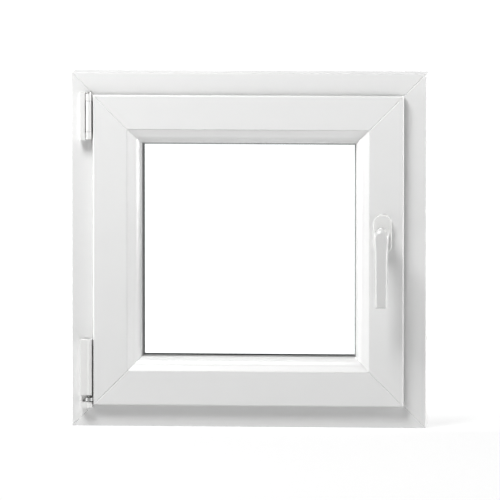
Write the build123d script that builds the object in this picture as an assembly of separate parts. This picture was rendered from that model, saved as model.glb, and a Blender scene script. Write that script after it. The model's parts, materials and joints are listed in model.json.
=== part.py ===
from build123d import *
import math
import os

# Tilt-and-turn window: one plastic sash that opens into the room, hung on the left.
# Millimetres. +X is to the right seen from the room, -Y is the room side, +Z is up.
# The origin is the centre of the frame's bottom face, midway through the frame's depth.
# Profiles are drawn as (inwards, depth): inwards from the ring's outer edge, depth along Y.

# ---- driving sizes -------------------------------------------------------------------

frame_width = 600
frame_height = 600
frame_depth = 70
wall = 3                      # outer walls of the hollow profiles
web = 1.5                     # walls between their chambers

# Outer frame
frame_face = 45               # room-side face, from the outer edge to the rebate floor
drain_step = 4                # the drain channel lies lower than the rebate floor
stop_height = 22              # outside stop lip above the rebate floor
stop_thickness = 12
fixing_hole = 7.5             # frame fixing screws
fixing_height = 150           # first fixing hole above the bottom
fixing_spacing = 300

# Corner welds
weld_half_width = 1.1         # groove that the weld cleaner leaves
weld_depth = 0.7

# Sash
overlap = 8                   # the sash laps over the frame face
closing_gap = 3               # between frame face and lip, filled by the seal
lip_thickness = 12
lip_height = 20               # from the sash's outer edge to its rebate face
stop_gap = 3                  # between the sash's back and the outside stop
sash_face = 58                # flat room-side face up to the glazing bead
glazing_lip_height = 24
glazing_lip_thickness = 14
seat_width = 16               # hardware groove: seat of the faceplates
seat_depth = 2.8
trough_width = 12             # and the trough of the rods below it
trough_depth = 12             # from the rebate face
groove_setback = 13           # groove centre behind the lip's back

# Glass unit
pane_thickness = 4
pane_gap = 16
glass_edge_gap = 6            # room for the setting blocks
glazing_seal = 3
bead_width = 24
bead_foot = 4
bead_foot_depth = 2.8

# Steel reinforcement
steel = 1.5
steel_clearance = 0.3

# Hinges
axis_out = 7                  # turning axis outside the sash edge
axis_back = 4                 # both axes behind the sash's room face
tilt_axis_up = 9              # tilting axis above the sash's bottom edge
knuckle_radius = 5.5
pin_radius = 3
pivot_pin_radius = 2
ball_radius = 4
eye_radius = 6.4
hinge_body = 14               # hinge bodies reach this far left of the axis
bracket_plate = 3
upper_hinge_low = 112         # below the frame's top
upper_hinge_high = 35
upper_knuckle = 12
lower_cover_low = 53
lower_cover_high = 148
foot_low = 32
foot_high = 42
cover_wall = 1.4
stay_length = 250             # turning axis to stud
stay_thickness = 3
stay_width = 12
stay_strap = 2
stud_radius = 2.5
running = 0.3                 # clearance between neighbouring moving pieces

# Handle and gear
handle_height = 330           # spindle above the frame's bottom
backset = 15                  # spindle from the sash's rebate face
rosette_width = 30
rosette_length = 67
rosette_depth = 11
rosette_wall = 1.8
handle_screw_spacing = 43
handle_standoff = 58          # front of the grip from the sash face
grip_length = 121             # spindle axis to the grip's end
grip_top_width = 21.8
grip_end_width = 20.6
grip_thickness = 13
neck_radius = 12.3
spindle = 7
gear_module = 1.0
gear_teeth = 19
gear_width = 7.4
backlash = 0.14
handle_swing = 180            # degrees, closed to tilt
case_half = 38                # gearbox case, half its length
case_wall = 2

# Lock rods
rod_width = 10
rod_thickness = 2.5
rod_gap = 0.2
corner_leg = 45
rod_end_space = 14            # faceplate end to rod end, with the fixing screw in it
cam_radius = 4
cam_neck_radius = 3
cam_height = 5.2
keep_height = 5.2
screw_radius = 2
keep_screw_radius = 1.75

# ---- places worked out from them ------------------------------------------------------

front = -frame_depth / 2
back = frame_depth / 2
stop_front = back - stop_thickness
drain_front = stop_front - 20
lip_back = front - closing_gap
sash_front = lip_back - lip_thickness
sash_back = stop_front - stop_gap
groove_y = lip_back + groove_setback

sash_width = frame_width - 2 * (frame_face - overlap)
sash_height = frame_height - 2 * (frame_face - overlap)
sash_low = frame_face - overlap
sash_high = sash_low + sash_height
sash_edge = sash_width / 2
rebate_edge = sash_edge - lip_height
rebate_low = sash_low + lip_height
rebate_high = sash_high - lip_height
sash_middle = (sash_low + sash_high) / 2
air_gap = lip_height - overlap           # between the two rebate faces

unit_thickness = 2 * pane_thickness + pane_gap
glazing_lip_front = sash_back - glazing_lip_thickness
unit_back = glazing_lip_front - glazing_seal
unit_front = unit_back - unit_thickness
bead_back = unit_front - glazing_seal
bead_foot_back = bead_back - 10
glass_edge = sash_face + glass_edge_gap

axis_x = -sash_edge - axis_out
axis_y = sash_front + axis_back
tilt_z = sash_low + tilt_axis_up
hinge_left = axis_x - hinge_body

handle_x = rebate_edge - backset
pitch_radius = gear_module * gear_teeth / 2
travel = pitch_radius * math.radians(handle_swing)
rod_top = seat_depth + rod_gap           # depth of the rods below the rebate face
rod_floor = rod_top + rod_thickness

frame_ring = (frame_width, frame_height, 0)
sash_ring = (sash_width, sash_height, sash_low)
SIDES = ("left", "right", "top", "bottom")

# ---- helpers ---------------------------------------------------------------------------


def block(low, high):
    """A box from its lowest corner to its highest."""
    size = [b - a for a, b in zip(low, high)]
    return Pos(*low) * Box(*size, align=(Align.MIN, Align.MIN, Align.MIN))


def bar(start, end, radius):
    """A round bar between two points."""
    line = Vector(*end) - Vector(*start)
    upright = Cylinder(radius, line.length, align=(Align.CENTER, Align.CENTER, Align.MIN))
    return Plane(origin=start, z_dir=line).location * upright


def outline(points, rounds=()):
    """A face from its corners, some of them rounded: (corner, radius)."""
    face = make_face(Polyline(*points, close=True))
    for corner, radius in rounds:
        nearest = min(face.vertices(), key=lambda v: (Vector(*v) - Vector(*corner, 0)).length)
        face = fillet(nearest, radius)
    return face


def rectangle(u0, u1, y0, y1):
    """A rectangular face between two pairs of edges."""
    return Pos((u0 + u1) / 2, (y0 + y1) / 2) * Rectangle(u1 - u0, y1 - y0)


def side_plane(side, ring):
    """The plane a side's profile is drawn in: x inwards, y along depth, at the side's middle."""
    width, height, base = ring
    middle = base + height / 2
    if side == "left":
        return Plane((-width / 2, 0, middle), x_dir=(1, 0, 0), z_dir=(0, 0, 1))
    if side == "right":
        return Plane((width / 2, 0, middle), x_dir=(-1, 0, 0), z_dir=(0, 0, -1))
    if side == "bottom":
        return Plane((0, 0, base), x_dir=(0, 0, 1), z_dir=(-1, 0, 0))
    return Plane((0, 0, base + height), x_dir=(0, 0, -1), z_dir=(1, 0, 0))


def side_length(side, ring):
    return ring[1] if side in ("left", "right") else ring[0]


def mitred(face, side, ring):
    """One side of a ring: its profile run along the side and cut at 45 degrees at both ends."""
    plane = side_plane(side, ring)
    half = side_length(side, ring) / 2
    reach = 110
    length = extrude(plane.location * face, amount=half, both=True)
    cut = make_face(Polyline((0, half), (reach, half - reach), (reach, reach - half), (0, -half),
        close=True))
    wedge_plane = Plane(plane.origin, x_dir=plane.x_dir, z_dir=plane.y_dir)
    return length & extrude(wedge_plane.location * cut, amount=200, both=True)


def square_cut(face, side, ring, end_space):
    """One side of a ring, sawn square and short of the corners."""
    half = side_length(side, ring) / 2 - end_space
    return extrude(side_plane(side, ring).location * face, amount=half, both=True)


def band(u0, u1, y0, y1, ring):
    """A closed rectangular band round a ring, from u0 to u1 inwards."""
    width, height, base = ring
    outer = block((u0 - width / 2, y0, base + u0), (width / 2 - u0, y1, base + height - u0))
    inner = block((u1 - width / 2, y0 - 1, base + u1), (width / 2 - u1, y1 + 1, base + height - u1))
    return outer - inner


def weld_grooves(ring, face_y, into, reach):
    """Fine V grooves over the four corner welds of one face; into is the way into the material."""
    width, height, base = ring
    half_width, depth = weld_half_width, weld_depth
    grooves = []
    for sx in (-1, 1):
        for top in (0, 1):
            corner = Vector(sx * width / 2, face_y, base + top * height)
            inwards = Vector(-sx, 0, 1 - 2 * top).normalized()
            across = Plane(corner, x_dir=(0, into, 0), z_dir=inwards)
            mouth = half_width * (1 + depth) / depth
            vee = make_face(Polyline((-1, -mouth), (depth, 0), (-1, mouth), close=True))
            grooves.append(extrude(across.location * vee, amount=reach * math.sqrt(2)))
    return grooves


def rail(side):
    """Hardware plane of a sash side: x along the rods' travel, z out of the sash, at groove centre."""
    if side == "right":
        return Plane((rebate_edge, groove_y, sash_middle), x_dir=(0, 0, -1), z_dir=(1, 0, 0)).location
    if side == "top":
        return Plane((0, groove_y, rebate_high), x_dir=(1, 0, 0), z_dir=(0, 0, 1)).location
    return Plane((0, groove_y, rebate_low), x_dir=(-1, 0, 0), z_dir=(0, 0, -1)).location


def countersunk(head_radius, shank_radius, length, head_depth=2):
    """A countersunk screw with a cross recess, head at the origin, pointing down -Z."""
    head = Pos(0, 0, -head_depth) * Cone(
        shank_radius, head_radius, head_depth, align=(Align.CENTER, Align.CENTER, Align.MIN))
    shank = bar((0, 0, -head_depth), (0, 0, 1 - length), shank_radius)
    tip = Pos(0, 0, -length) * Cone(
        shank_radius * 0.3, shank_radius, 1, align=(Align.CENTER, Align.CENTER, Align.MIN))
    arm = head_radius * 1.1
    cross = Pos(0, 0, -0.6) * (Box(arm, 0.8, 1.4) + Box(0.8, arm, 1.4))
    return head + shank + tip - cross


def countersink(head_radius, shank_radius, length, head_depth=2):
    """The hole that a countersunk screw sits in."""
    cone = Pos(0, 0, -head_depth) * Cone(
        shank_radius, head_radius, head_depth, align=(Align.CENTER, Align.CENTER, Align.MIN))
    return cone + bar((0, 0, -head_depth), (0, 0, -length), shank_radius)


parts = {}

# ---- where the hardware sits -----------------------------------------------------------

corner_half = {"right": sash_height / 2 - lip_height,
               "top": sash_width / 2 - lip_height,
               "bottom": sash_width / 2 - lip_height}
stud_x = axis_x + stay_length
guide_low_x = stud_x - 40
guide_high_x = stud_x + 35
bottom_plate_end = 60         # the bottom faceplate stops short of the hinge side

plate_start = {"right": corner_leg - corner_half["right"],
               "top": guide_high_x,
               "bottom": corner_leg - corner_half["bottom"]}
plate_end = {"right": corner_half["right"] - corner_leg,
             "top": corner_half["top"] - corner_leg,
             "bottom": corner_half["bottom"] - bottom_plate_end}
rod_start = {side: plate_start[side] + rod_end_space for side in plate_start}
rod_end = {side: plate_end[side] - rod_end_space - travel for side in plate_end}
cam_places = {"right": (rod_start["right"] + 12, rod_end["right"] - 12),
              "top": ((rod_start["top"] + rod_end["top"]) / 2,),
              "bottom": ((rod_start["bottom"] + rod_end["bottom"]) / 2,)}
plate_screws = {side: (plate_start[side] + rod_end_space / 2, plate_end[side] - rod_end_space / 2)
                for side in plate_start}
leg_screw = corner_leg - 8    # from the corner along each leg
corner_screws = {"right": (leg_screw - corner_half["right"], corner_half["right"] - leg_screw),
                 "top": (corner_half["top"] - leg_screw,),
                 "bottom": (leg_screw - corner_half["bottom"],)}
guide_screws = {"top": (guide_low_x + 8, guide_high_x - 8)}
groove_screw_length = trough_depth + wall

handle_screw_z = (handle_height - handle_screw_spacing / 2, handle_height + handle_screw_spacing / 2)
case_front = groove_y - trough_width / 2
case_back = groove_y + trough_width / 2
gear_local_x = sash_middle - handle_height      # spindle on the right side's rail

fixing_y = front + 25
fixing_z = (fixing_height, fixing_height + fixing_spacing)
drain_x = (-frame_width * 0.3, frame_width * 0.3)

# ---- outer frame ------------------------------------------------------------------------

core_front = front + wall + 9 + web
core_back = drain_front - web


def frame_profile():
    drain_floor = frame_face - drain_step
    tip = frame_face + stop_height
    seal_low, seal_high = tip - 7, tip - 4
    solid = outline(
        [(0, front), (frame_face, front), (frame_face, drain_front), (drain_floor, drain_front),
         (drain_floor, stop_front), (seal_low, stop_front), (seal_low, stop_front + 2.5),
         (seal_high, stop_front + 2.5), (seal_high, stop_front), (tip, stop_front), (tip, back), (0, back)],
        [((0, front), 1), ((frame_face, front), 1.5), ((tip, back), 3), ((tip, stop_front), 1.5),
            ((0, back), 1)])
    chambers = [
        rectangle(wall, frame_face - wall, front + wall, front + wall + 9),
        rectangle(wall, frame_face - wall, core_front, core_back),
        rectangle(wall, drain_floor - wall, core_back + web, stop_front - web),
        rectangle(wall, drain_floor - 2, stop_front, back - wall),
        rectangle(drain_floor - 2 + web, tip - wall, stop_front + 2.5 + web, back - wall)]
    return solid - chambers


def frame_core_profile():
    inner = frame_face - wall - steel_clearance
    low, high = core_front + steel_clearance, core_back - steel_clearance
    outer = wall + steel_clearance
    return rectangle(outer, inner, low, high) - rectangle(outer - 1, inner - steel, low + steel,
        high - steel)


frame_section = frame_profile()
frame_names = {"left": "frame_left_jamb", "right": "frame_right_jamb", "top": "frame_head",
    "bottom": "frame_sill"}
frame_members = {side: mitred(frame_section, side, frame_ring) for side in SIDES}
core_end = frame_face + 8
frame_cores = {side: square_cut(frame_core_profile(), side, frame_ring, core_end) for side in SIDES}

frame_grooves = weld_grooves(frame_ring, front, 1, frame_face) + weld_grooves(frame_ring, back, -1,
    frame_face)

# Fixing screw holes through both jambs and their steel
for side, sign in (("left", -1), ("right", 1)):
    for z in fixing_z:
        hole = bar((sign * frame_width / 2, fixing_y, z),
            (sign * (frame_width / 2 - frame_face - 1), fixing_y, z),
                   fixing_hole / 2)
        frame_members[side] -= hole
        frame_cores[side] -= hole

# Drain slots: down from the drain channel, and out through the sill's outer face
drain_length, drain_height, drain_z = 28, 5, 14
for x in drain_x:
    inner_slot = block((x - 40, drain_front + 4, drain_z),
        (x - 40 + drain_length, drain_front + 9, frame_face))
    outer_slot = block((x - drain_length / 2, back - wall - 1, drain_z),
        (x + drain_length / 2, back + 1, drain_z + drain_height))
    frame_members["bottom"] -= [inner_slot, outer_slot]

cap_length, cap_height, cap_depth = 40, 12, 4.5


def drain_cap(x):
    """A small hood over a drain slot, open at the bottom."""
    low = drain_z - 3
    hood = block((x - cap_length / 2, back, low), (x + cap_length / 2, back + cap_depth, low + cap_height))
    hood = fillet(hood.edges().filter_by(Axis.Y), 3)
    return hood - block((x - drain_length / 2, back - 1, low - 1),
                        (x + drain_length / 2, back + cap_depth - cover_wall, drain_z + drain_height + 0.5))


parts["drain_caps"] = [drain_cap(x) for x in drain_x]

# Rubber seal in the outside stop
stop_tip = frame_face + stop_height
stop_seal = band(stop_tip - 9, stop_tip - 2, sash_back + running, stop_front, frame_ring)
stop_seal += band(stop_tip - 6.8, stop_tip - 4.2, stop_front, stop_front + 2.4, frame_ring)
parts["frame_stop_gasket"] = stop_seal

# ---- upper hinge: bearing bracket, pin and cover on the frame ---------------------------

upper_low = frame_height - upper_hinge_low
upper_high = frame_height - upper_hinge_high
knuckle_low = upper_low + upper_knuckle
knuckle_high = upper_high - upper_knuckle
post_left = hinge_left + 1.2
post_right = axis_x - knuckle_radius - 1.5
post_front = sash_front + 1
bracket_screw_x = (post_left + post_right) / 2


def bracket_post(low, high, plate_right):
    """A bracket's plate on the frame face and the post that stands on it."""
    plate = block((hinge_left, front - bracket_plate, low), (plate_right, front, high))
    return plate + block((post_left, post_front, low + 2), (post_right, front - bracket_plate, high - 2))


def bearing_knuckle(low, high):
    """A knuckle round the turning axis, with the web that ties it to the post."""
    return bar((axis_x, axis_y, low), (axis_x, axis_y, high), knuckle_radius) + block(
        (post_right - 2, post_front, low), (axis_x, front - closing_gap - 3, high))


hinge_screw_length = 22


def bracket_screws(heights):
    place = Plane((bracket_screw_x, post_front, 0), x_dir=(1, 0, 0), z_dir=(0, -1, 0))
    return [Pos(0, 0, z) * place.location * countersunk(2.8, screw_radius,
        hinge_screw_length) for z in heights]


def bracket_screw_holes(heights):
    place = Plane((bracket_screw_x, post_front, 0), x_dir=(1, 0, 0), z_dir=(0, -1, 0))
    return [Pos(0, 0, z) * place.location * countersink(2.8, screw_radius,
        hinge_screw_length) for z in heights]


upper_screw_z = (knuckle_low + 10, knuckle_high - 10)
lower_screw_z = (lower_cover_low + 17, (lower_cover_low + lower_cover_high) / 2, lower_cover_high - 17)

stay_bearing = bracket_post(upper_low, upper_high, axis_x - 1.5)
stay_bearing += bearing_knuckle(upper_low, knuckle_low)
stay_bearing += bearing_knuckle(knuckle_high, upper_high)
stay_bearing -= bar((axis_x, axis_y, upper_low - 1), (axis_x, axis_y, upper_high + 1), pin_radius)
stay_bearing -= bracket_screw_holes(upper_screw_z)
parts["stay_bearing"] = stay_bearing

stay_pin = bar((axis_x, axis_y, upper_low - 1.5), (axis_x, axis_y, upper_high), pin_radius)
stay_pin += bar((axis_x, axis_y, upper_high), (axis_x, axis_y, upper_high + 1.6), pin_radius + 1.4)
parts["stay_pin"] = chamfer(stay_pin.edges().group_by(Axis.Z)[0], 0.6)

cover_front = sash_front - 0.8
cover_left = hinge_left - 1


def cover_shell(low, high, right):
    """The outer block of a clip-on cover over a post, its left corners rounded."""
    shell = block((cover_left, cover_front, low), (right, front - 0.05, high))
    return fillet(shell.edges().filter_by(Axis.Z).group_by(Axis.X)[0], 1.2)


upper_cover_right = axis_x - knuckle_radius - 0.4
upper_cover = cover_shell(upper_low - 1.6, upper_high + 1.6, upper_cover_right)
upper_cover -= block((cover_left + cover_wall - 0.5, cover_front + cover_wall, upper_low - 0.1),
                     (upper_cover_right + 1, front, upper_high + 0.1))
parts["upper_hinge_cover"] = upper_cover

# ---- lower hinge: corner bearing, pivot pin and cover on the frame ----------------------

bearing_right = axis_x + knuckle_radius
corner_bearing = bracket_post(foot_low, lower_cover_high - 2, bearing_right)
corner_bearing -= block((hinge_left - 1, sash_front - 2, foot_high),
    (bearing_right + 1, front - bracket_plate, lower_cover_low + 1.5))
corner_bearing += block((hinge_left, sash_front - 0.5, foot_low),
    (axis_x, front - bracket_plate, foot_high))
corner_bearing += bar((axis_x, axis_y, foot_low), (axis_x, axis_y, foot_high), knuckle_radius)
corner_bearing += block((axis_x - knuckle_radius, axis_y, foot_low),
    (bearing_right, front - bracket_plate, foot_high))
corner_bearing -= bar((axis_x, axis_y, foot_low - 1), (axis_x, axis_y, foot_high + 1), pivot_pin_radius)
corner_bearing -= bracket_screw_holes(lower_screw_z)
parts["corner_bearing"] = corner_bearing

ball_half = 3.6
parts["corner_bearing_pin"] = bar((axis_x, axis_y, foot_low + 1),
    (axis_x, axis_y, tilt_z + ball_half + 1.2), pivot_pin_radius)

pivot_ball = Pos(axis_x, axis_y, tilt_z) * Sphere(ball_radius)
pivot_ball &= block((axis_x - 9, axis_y - 9, tilt_z - ball_half),
    (axis_x + 9, axis_y + 9, tilt_z + ball_half))
parts["pivot_bush"] = pivot_ball - bar((axis_x, axis_y, foot_low), (axis_x, axis_y, lower_cover_low),
    pivot_pin_radius + 0.05)


def lower_cover_body(inset, low, high):
    """The tall cover's outline: a square body on the left run into a round column on the axis."""
    body = block((cover_left + inset, cover_front + inset, low), (axis_x, front - 0.05, high))
    body += bar((axis_x, axis_y, low), (axis_x, axis_y, high), knuckle_radius - inset)
    return body + block((axis_x - 1, axis_y, low), (bearing_right - inset, front - 0.05, high))


lower_cover = lower_cover_body(0, lower_cover_low, lower_cover_high)
lower_cover -= lower_cover_body(cover_wall, lower_cover_low - 1, lower_cover_high - cover_wall)
lower_cover -= block((cover_left - 1, front - bracket_plate - 0.05, lower_cover_low - 1),
                     (axis_x + 20, front, lower_cover_high + 1))
parts["lower_hinge_cover"] = lower_cover

parts["hinge_screws"] = bracket_screws(upper_screw_z) + bracket_screws(lower_screw_z)
for hole in bracket_screw_holes(upper_screw_z) + bracket_screw_holes(lower_screw_z):
    frame_members["left"] -= hole
    frame_cores["left"] -= hole

# ---- keeps on the frame -----------------------------------------------------------------

keep_base = 2.4
keep_half = 20


def striker_keep(x):
    """A keep on the frame's rebate floor beside a cam at rest, in rail coordinates."""
    floor = air_gap
    plate = block((x - keep_half, -seat_width / 2, floor - keep_base),
        (x + keep_half, seat_width / 2, floor))
    hook_front = -seat_width / 2 - 0.5
    hook = block((x - 14, hook_front, floor - keep_height), (x + 4, -cam_radius - 0.6, floor))
    plate = chamfer(plate.edges().filter_by(Axis.Z), 2)
    for end in (-1, 1):
        place = Pos(x + end * (keep_half - 5), 0, floor - keep_base) * Rot(180, 0, 0)
        plate -= place * countersink(3.2, keep_screw_radius, 12)
    return plate + hook


def keep_fixings(x, maker):
    return [Pos(x + end * (keep_half - 5), 0, air_gap - keep_base) * Rot(180, 0, 0)
            * maker(3.2, keep_screw_radius, 12) for end in (-1, 1)]


keeps, keep_screws = [], []
for side, places in cam_places.items():
    for x in places:
        keeps.append(rail(side) * striker_keep(x))
        keep_screws += [rail(side) * screw for screw in keep_fixings(x, countersunk)]
        for hole in keep_fixings(x, countersink):
            frame_members[side] -= rail(side) * hole
parts["striker_keeps"] = keeps
parts["keep_screws"] = keep_screws

for side in SIDES:
    parts[frame_names[side]] = frame_members[side] - frame_grooves
parts["frame_steel_cores"] = [frame_cores[side] for side in SIDES]

# ---- sash -------------------------------------------------------------------------------

trough_floor = lip_height + trough_depth
pocket_floor = lip_height + backset + 13.4
steel_front = groove_y + seat_width / 2 + wall
steel_back = sash_back - wall - 12.5 - web
sash_tip = sash_face + glazing_lip_height


def sash_profile():
    seat_low, seat_high = groove_y - seat_width / 2, groove_y + seat_width / 2
    trough_low, trough_high = groove_y - trough_width / 2, groove_y + trough_width / 2
    seat = lip_height + seat_depth
    foot_front = bead_foot_back - bead_foot
    solid = outline(
        [(0, sash_front), (sash_face, sash_front), (sash_face, foot_front), (sash_face - 3, foot_front),
         (sash_face - 3, bead_foot_back), (sash_face, bead_foot_back), (sash_face, glazing_lip_front),
         (sash_tip - 8, glazing_lip_front), (sash_tip - 8, glazing_lip_front + 2), (sash_tip - 5,
             glazing_lip_front + 2),
         (sash_tip - 5, glazing_lip_front), (sash_tip, glazing_lip_front), (sash_tip,
             sash_back), (lip_height, sash_back),
         (lip_height, seat_high), (seat, seat_high), (seat, trough_high), (trough_floor, trough_high),
         (trough_floor, trough_low), (seat, trough_low), (seat, seat_low), (lip_height, seat_low),
         (lip_height, lip_back), (6, lip_back), (6, lip_back - 2), (3, lip_back - 2), (3, lip_back), (0,
             lip_back)],
        [((0, sash_front), 2.5), ((0, lip_back), 0.8), ((sash_face, sash_front), 0.6),
         ((sash_tip, sash_back), 3), ((lip_height, sash_back), 1)])
    chambers = [
        rectangle(wall, sash_face - wall, sash_front + wall, lip_back - 2 - web),
        rectangle(trough_floor + wall, sash_face - 6, lip_back - 2, groove_y + seat_width / 2),
        rectangle(lip_height + wall, sash_face - wall, steel_front, steel_back),
        rectangle(lip_height + wall, sash_face - wall, steel_back + web, sash_back - wall),
        rectangle(sash_face - 1, sash_tip - wall, glazing_lip_front + 2 + web, sash_back - wall)]
    return solid - chambers


def sash_core_profile():
    low, high = steel_front + steel_clearance, steel_back - steel_clearance
    outer = lip_height + wall + steel_clearance
    inner = sash_face - wall - steel_clearance
    hollow = rectangle(outer + steel, inner + 1, low + steel, high - steel)
    return rectangle(outer, inner, low, high) - hollow


sash_section = sash_profile()
sash_names = {"left": "sash_hinge_stile", "right": "sash_lock_stile", "top": "sash_top_rail",
    "bottom": "sash_bottom_rail"}
sash_members = {side: mitred(sash_section, side, sash_ring) for side in SIDES}
sash_grooves = weld_grooves(sash_ring, sash_front, 1, sash_face) + weld_grooves(sash_ring, sash_back, -1,
    sash_tip)
parts["sash_steel_cores"] = [square_cut(sash_core_profile(), side, sash_ring,
    sash_face + 8) for side in SIDES]

# Screw holes of the faceplates, corner drives and stay guide, in the trough's floor
groove_screws = []
for table in (plate_screws, corner_screws, guide_screws):
    for side, places in table.items():
        for x in places:
            place = rail(side) * Pos(x, 0, 0)
            groove_screws.append(place * countersunk(3.5, screw_radius, groove_screw_length))
            sash_members[side] -= place * bar((0, 0, -trough_depth + 1), (0, 0, -groove_screw_length - 1),
                screw_radius)
parts["faceplate_screws"] = groove_screws

# Handle bores and the gearbox pocket in the lock stile
sash_members["right"] -= block((handle_x - 13.4, case_front, handle_height - case_half - 0.4),
                               (rebate_edge - trough_depth + 1, case_back, handle_height + case_half + 0.4))
sash_members["right"] -= bar((handle_x, sash_front - 1, handle_height), (handle_x, groove_y, handle_height),
    6.5)
for z in handle_screw_z:
    sash_members["right"] -= bar((handle_x, sash_front - 1, z), (handle_x, case_front + 1, z), 2.75)

# Pocket for the corner band in the hinge stile's edge
band_low, band_high = foot_high, lower_cover_high + 2
band_front, band_back = sash_front + 1.5, lip_back - 1.5
band_thickness = 2.5
sash_members["left"] -= block((-sash_edge - 1, band_front, band_low),
    (-sash_edge + band_thickness, band_back, band_high))

# ---- lower hinge: corner band with its eye, on the sash ----------------------------------

corner_band = block((-sash_edge, band_front, band_low + 0.2),
    (-sash_edge + band_thickness, band_back, band_high - 0.2))
eye_half = 3
corner_band += bar((axis_x, axis_y, tilt_z - eye_half), (axis_x, axis_y, tilt_z + eye_half), eye_radius)
corner_band += block((axis_x + 3, band_front, tilt_z - eye_half),
    (-sash_edge + 1, axis_y + 3, tilt_z + eye_half))
corner_band -= Pos(axis_x, axis_y, tilt_z) * Sphere(ball_radius + 0.25)
band_screw_z = [band_low + 22 + 32 * i for i in range(3)]
band_screw_y = (band_front + band_back) / 2


def band_fixing(z, maker):
    place = Plane((-sash_edge, band_screw_y, z), x_dir=(0, 1, 0), z_dir=(-1, 0, 0))
    return place.location * maker(2.9, 1.6, 14, 1.6)


for z in band_screw_z:
    corner_band -= band_fixing(z, countersink)
    sash_members["left"] -= band_fixing(z, countersink)
parts["corner_band"] = corner_band
parts["corner_band_screws"] = [band_fixing(z, countersunk) for z in band_screw_z]

for side in SIDES:
    parts[sash_names[side]] = sash_members[side] - sash_grooves

# Seal on the back of the overlapping lip; it gives way to the stay's strap at the upper hinge
seal_thickness = 1.8
lip_seal = band(2, 7, lip_back, lip_back + seal_thickness, sash_ring)
lip_seal += band(3.2, 5.8, lip_back - 1.8, lip_back, sash_ring)
strap_low = upper_low + 27
lip_seal -= block((-sash_edge - 1, lip_back - 3, strap_low - 4), (-sash_edge + 20, front, upper_high - 8))
parts["sash_overlap_gasket"] = lip_seal

# ---- glass unit -----------------------------------------------------------------------------

glass_low_x, glass_high_x = glass_edge - sash_edge, sash_edge - glass_edge
glass_low_z, glass_high_z = sash_low + glass_edge, sash_high - glass_edge


def pane(y):
    return block((glass_low_x, y, glass_low_z), (glass_high_x, y + pane_thickness, glass_high_z))


parts["glass_inner_pane"] = pane(unit_front)
parts["glass_outer_pane"] = pane(unit_back - pane_thickness)
gap_front, gap_back = unit_front + pane_thickness, unit_back - pane_thickness
spacer_in, spacer_out = glass_edge + 12, glass_edge + 5
spacer = band(spacer_out, spacer_in, gap_front, gap_back, sash_ring)
spacer -= band(spacer_out + 0.6, spacer_in - 0.6, gap_front + 0.6, gap_back - 0.6, sash_ring)
parts["glass_spacer_bar"] = spacer
parts["glass_edge_seal"] = band(glass_edge, spacer_out, gap_front, gap_back, sash_ring)
parts["outer_glazing_gasket"] = band(sash_tip - 9, sash_tip + 1.5, unit_back, glazing_lip_front,
    sash_ring) + band(
    sash_tip - 7.8, sash_tip - 5.2, glazing_lip_front, glazing_lip_front + 1.9, sash_ring)
bead_tip = sash_face + bead_width
parts["inner_glazing_gasket"] = band(bead_tip - 8, bead_tip + 2, bead_back, unit_front, sash_ring)

block_length, block_inset = 70, 45
blocks = []
for x in (glass_low_x + block_inset, glass_high_x - block_inset - block_length):
    blocks.append(block((x, unit_front, sash_low + sash_face), (x + block_length, unit_back, glass_low_z)))
    blocks.append(block((x, unit_front, glass_high_z),
        (x + block_length, unit_back, sash_high - sash_face)))
blocks.append(block((-sash_edge + sash_face, unit_front, glass_low_z + block_inset),
                    (glass_low_x, unit_back, glass_low_z + block_inset + block_length)))
blocks.append(block((glass_high_x, unit_front, glass_high_z - block_inset - block_length),
                    (sash_edge - sash_face, unit_back, glass_high_z - block_inset)))
parts["glazing_blocks"] = blocks


def bead_profile():
    """A hollow glazing bead: gentle band, rounded shoulder, steep band, and its clip foot."""
    low = sash_face
    shoulder = sash_front + 5.5
    foot_front = bead_foot_back - bead_foot + 0.2
    solid = outline(
        [(low, sash_front + 0.8), (low + 13, shoulder), (low + 17.5, shoulder + 4),
            (bead_tip, bead_back - 2),
         (bead_tip, bead_back), (low, bead_back), (low, bead_foot_back - 0.2), (low - bead_foot_depth,
             bead_foot_back - 0.2),
         (low - bead_foot_depth, foot_front), (low, foot_front)],
        [((low + 13, shoulder), 5), ((low + 17.5, shoulder + 4), 4)])
    hollow = outline([(low + 2, sash_front + 3), (low + 11.5, sash_front + 7), (low + 15.5, shoulder + 5.5),
                      (bead_tip - 4.5, bead_back - 2), (low + 2, bead_back - 2)])
    return solid - hollow


bead_section = bead_profile()
for side in SIDES:
    parts[f"glazing_bead_{side}"] = mitred(bead_section, side, sash_ring)

# ---- gearbox: case, pinion and rack -----------------------------------------------------------


def involute_gear():
    """A spur gear's outline, one tooth pointing along +Y of the sketch."""
    pressure = math.radians(20)
    base = pitch_radius * math.cos(pressure)
    tip = pitch_radius + gear_module
    root = pitch_radius - 1.25 * gear_module
    half_pitch = math.pi / (2 * gear_teeth) - backlash / (2 * pitch_radius)

    def spot(radius, half, sign, turn):
        angle = math.pi / 2 + turn + sign * half
        return (radius * math.cos(angle), radius * math.sin(angle))

    def half_angle(radius):
        at = math.acos(base / radius)
        return half_pitch + (math.tan(pressure) - pressure) - (math.tan(at) - at)

    radii = [base + (tip - base) * step / 4 for step in range(5)]
    radii[0] = base * 1.0001
    points = []
    for tooth in range(gear_teeth):
        turn = -2 * math.pi * tooth / gear_teeth
        points.append(spot(root, half_angle(radii[0]), 1, turn))
        points += [spot(r, half_angle(r), 1, turn) for r in radii]
        points += [spot(r, half_angle(r), -1, turn) for r in reversed(radii)]
        points.append(spot(root, half_angle(radii[0]), -1, turn))
    return make_face(Polyline(*points, close=True))


gear_plane = Plane((handle_x, groove_y, handle_height), x_dir=(0, 0, -1), z_dir=(0, -1, 0))
pinion = extrude(gear_plane.location * involute_gear(), amount=gear_width / 2, both=True)
hub_radius = 6
pinion += bar((handle_x, case_front + 0.2, handle_height), (handle_x, case_back - 0.2, handle_height),
    hub_radius)
spindle_hole = spindle + 0.1
pinion -= Pos(handle_x, groove_y, handle_height) * Box(spindle_hole, 60, spindle_hole)
parts["gear_pinion"] = pinion

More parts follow.
